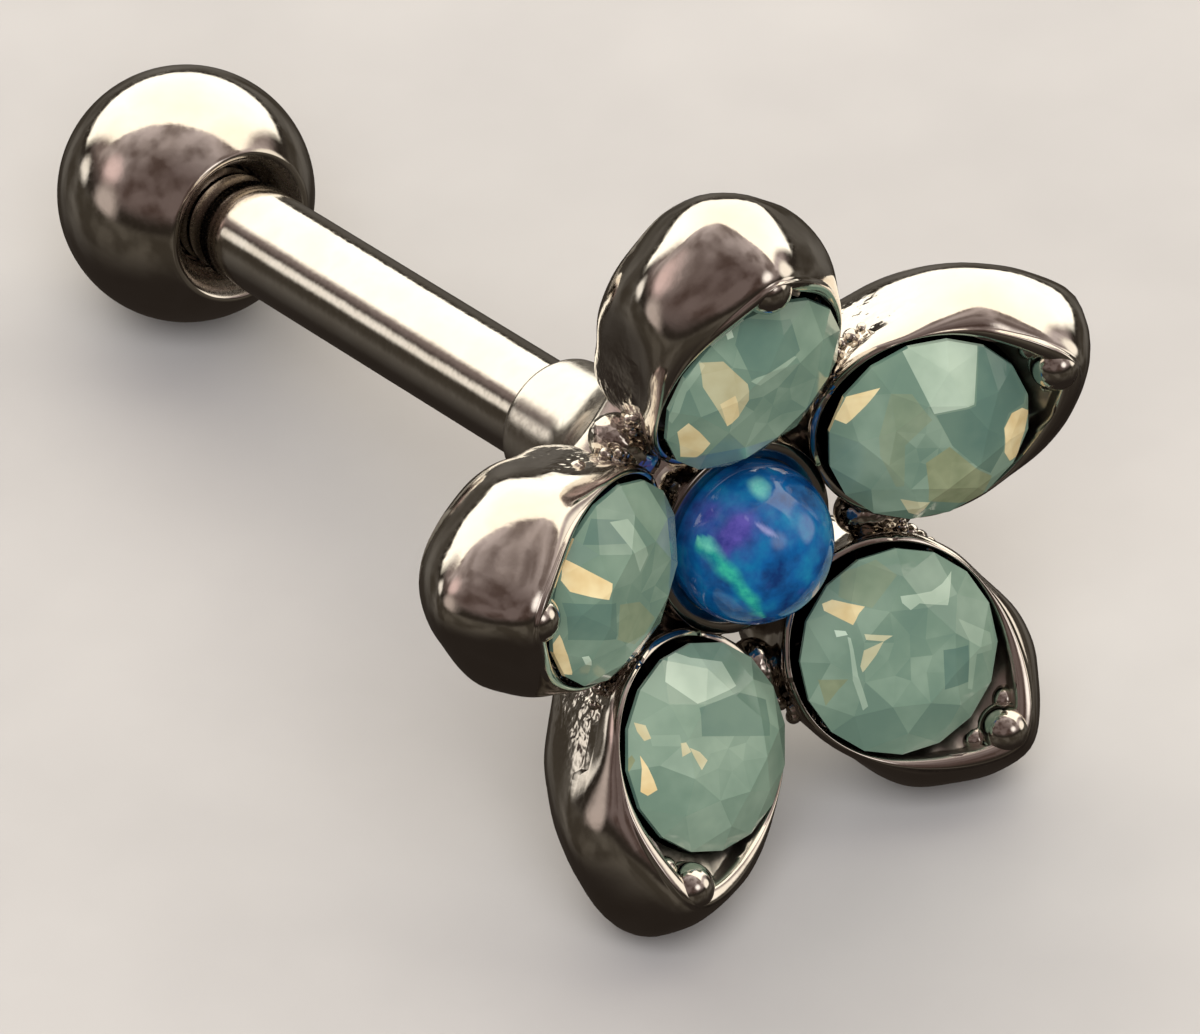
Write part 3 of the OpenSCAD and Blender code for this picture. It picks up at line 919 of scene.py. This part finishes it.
def build_room():
    """A studio whose far half is one great soft screen, with dim brown walls on the near side."""
    n = Nodes(bpy.data.worlds.new("room"), "Background")
    bpy.context.scene.world = n.owner
    facing = n.add("ShaderNodeTexCoord").outputs["Generated"]
    far = n.vectors("DOT_PRODUCT", facing, ROOM_FAR)
    side = n.vectors("DOT_PRODUCT", facing, ROOM_RIGHT)
    up = n.vectors("DOT_PRODUCT", facing, ROOM_UP)
    blotches = n.rise(n.noise(facing, 2.4, 2), 0.36, 0.64)
    slant = n.maths("SUBTRACT", n.maths("MULTIPLY", up, 0.2), n.maths("MULTIPLY", side, 0.25))
    beyond = n.maths("SUBTRACT", far, slant)
    narrow = n.rise(n.maths("ABSOLUTE", side), 0.74, 0.84, 1.0, 0.0)
    wide = n.maths("MULTIPLY", narrow, n.rise(up, 0.04, 0.09))
    screen = n.maths("MULTIPLY", n.rise(beyond, -0.03, 0.03), wide)
    glow = n.maths("MULTIPLY", n.rise(beyond, -0.8, 0.0), n.rise(up, 0.05, 0.5))
    glowing = n.mix(glow, n.mix(blotches, *WALL_BROWNS), n.mix(blotches, *GLOWING_BROWNS))
    above_floor = n.mix(n.rise(up, 0.08, 0.35), SKIRTING, glowing)
    for place, edge, soft_edge, colour in SOFT_WINDOWS:
        off = n.vectors("DISTANCE", facing, place)
        above_floor = n.mix(n.rise(off, edge, soft_edge, 1.0, 0.0), above_floor, colour)
    above = n.mix(screen, above_floor, n.mix(n.rise(up, 0.1, 0.9), *SCREEN_WHITES))
    table = n.mix(blotches, TABLE_BLOTCH, n.mix(n.rise(far, -0.2, 0.6), *TABLE_GREYS))
    under = n.mix(n.rise(up, -0.8, -0.25), CONTACT_SHADOW, table)
    n.feed("Color", n.mix(n.rise(up, -0.1, 0.04), under, above))
    n.feed("Strength", 1.0)


def build_fill_lamp():
    light = bpy.data.lights.new("fill_lamp", "AREA")
    light.shape = "RECTANGLE"
    light.size, light.size_y = FILL_SIZE, FILL_SIZE
    light.energy = FILL_POWER
    light.color = FILL_COLOUR
    lamp = bpy.data.objects.new("fill_lamp", light)
    bpy.context.scene.collection.objects.link(lamp)
    level = math.cos(FILL_ELEVATION)
    lamp.location = Vector((math.sin(FILL_AZIMUTH) * level, -math.cos(FILL_AZIMUTH) * level,
                            math.sin(FILL_ELEVATION))) * FILL_DISTANCE
    lamp.rotation_mode = "QUATERNION"
    lamp.rotation_quaternion = (FILL_AIM - lamp.location).to_track_quat("-Z", "Y")
    lamp.visible_glossy = False


# The camera's place, fitted to the photo
CAMERA_AIM = Vector((0.285, -2.0458, 1.643)) * MM
CAMERA_AZIMUTH = math.radians(-33.830)
CAMERA_ELEVATION = math.radians(39.683)
CAMERA_ROLL = math.radians(-2.623)
CAMERA_DISTANCE = 125.9 * MM
CAMERA_LENS = 337.84


def build_camera():
    data = bpy.data.cameras.new("camera")
    data.lens = CAMERA_LENS
    data.clip_start, data.clip_end = 0.01, 10
    camera = bpy.data.objects.new("camera", data)
    bpy.context.scene.collection.objects.link(camera)
    back = Vector((math.sin(CAMERA_AZIMUTH) * math.cos(CAMERA_ELEVATION),
                   -math.cos(CAMERA_AZIMUTH) * math.cos(CAMERA_ELEVATION),
                   math.sin(CAMERA_ELEVATION)))
    camera.location = CAMERA_AIM + back * CAMERA_DISTANCE
    turn = (-back).to_track_quat("-Z", "Y").to_matrix() @ Matrix.Rotation(CAMERA_ROLL, 3, "Z")
    camera.rotation_mode = "QUATERNION"
    camera.rotation_quaternion = turn.to_quaternion()
    bpy.context.scene.camera = camera


bpy.context.scene.view_settings.view_transform = "Standard"
metal = polished_metal()
crystal = milky_crystal()
build_flower(metal)
build_ball(metal)
for number in range(PETALS):
    build_stone(number, crystal)
build_opal()
build_stage()
build_room()
build_fill_lamp()
build_camera()
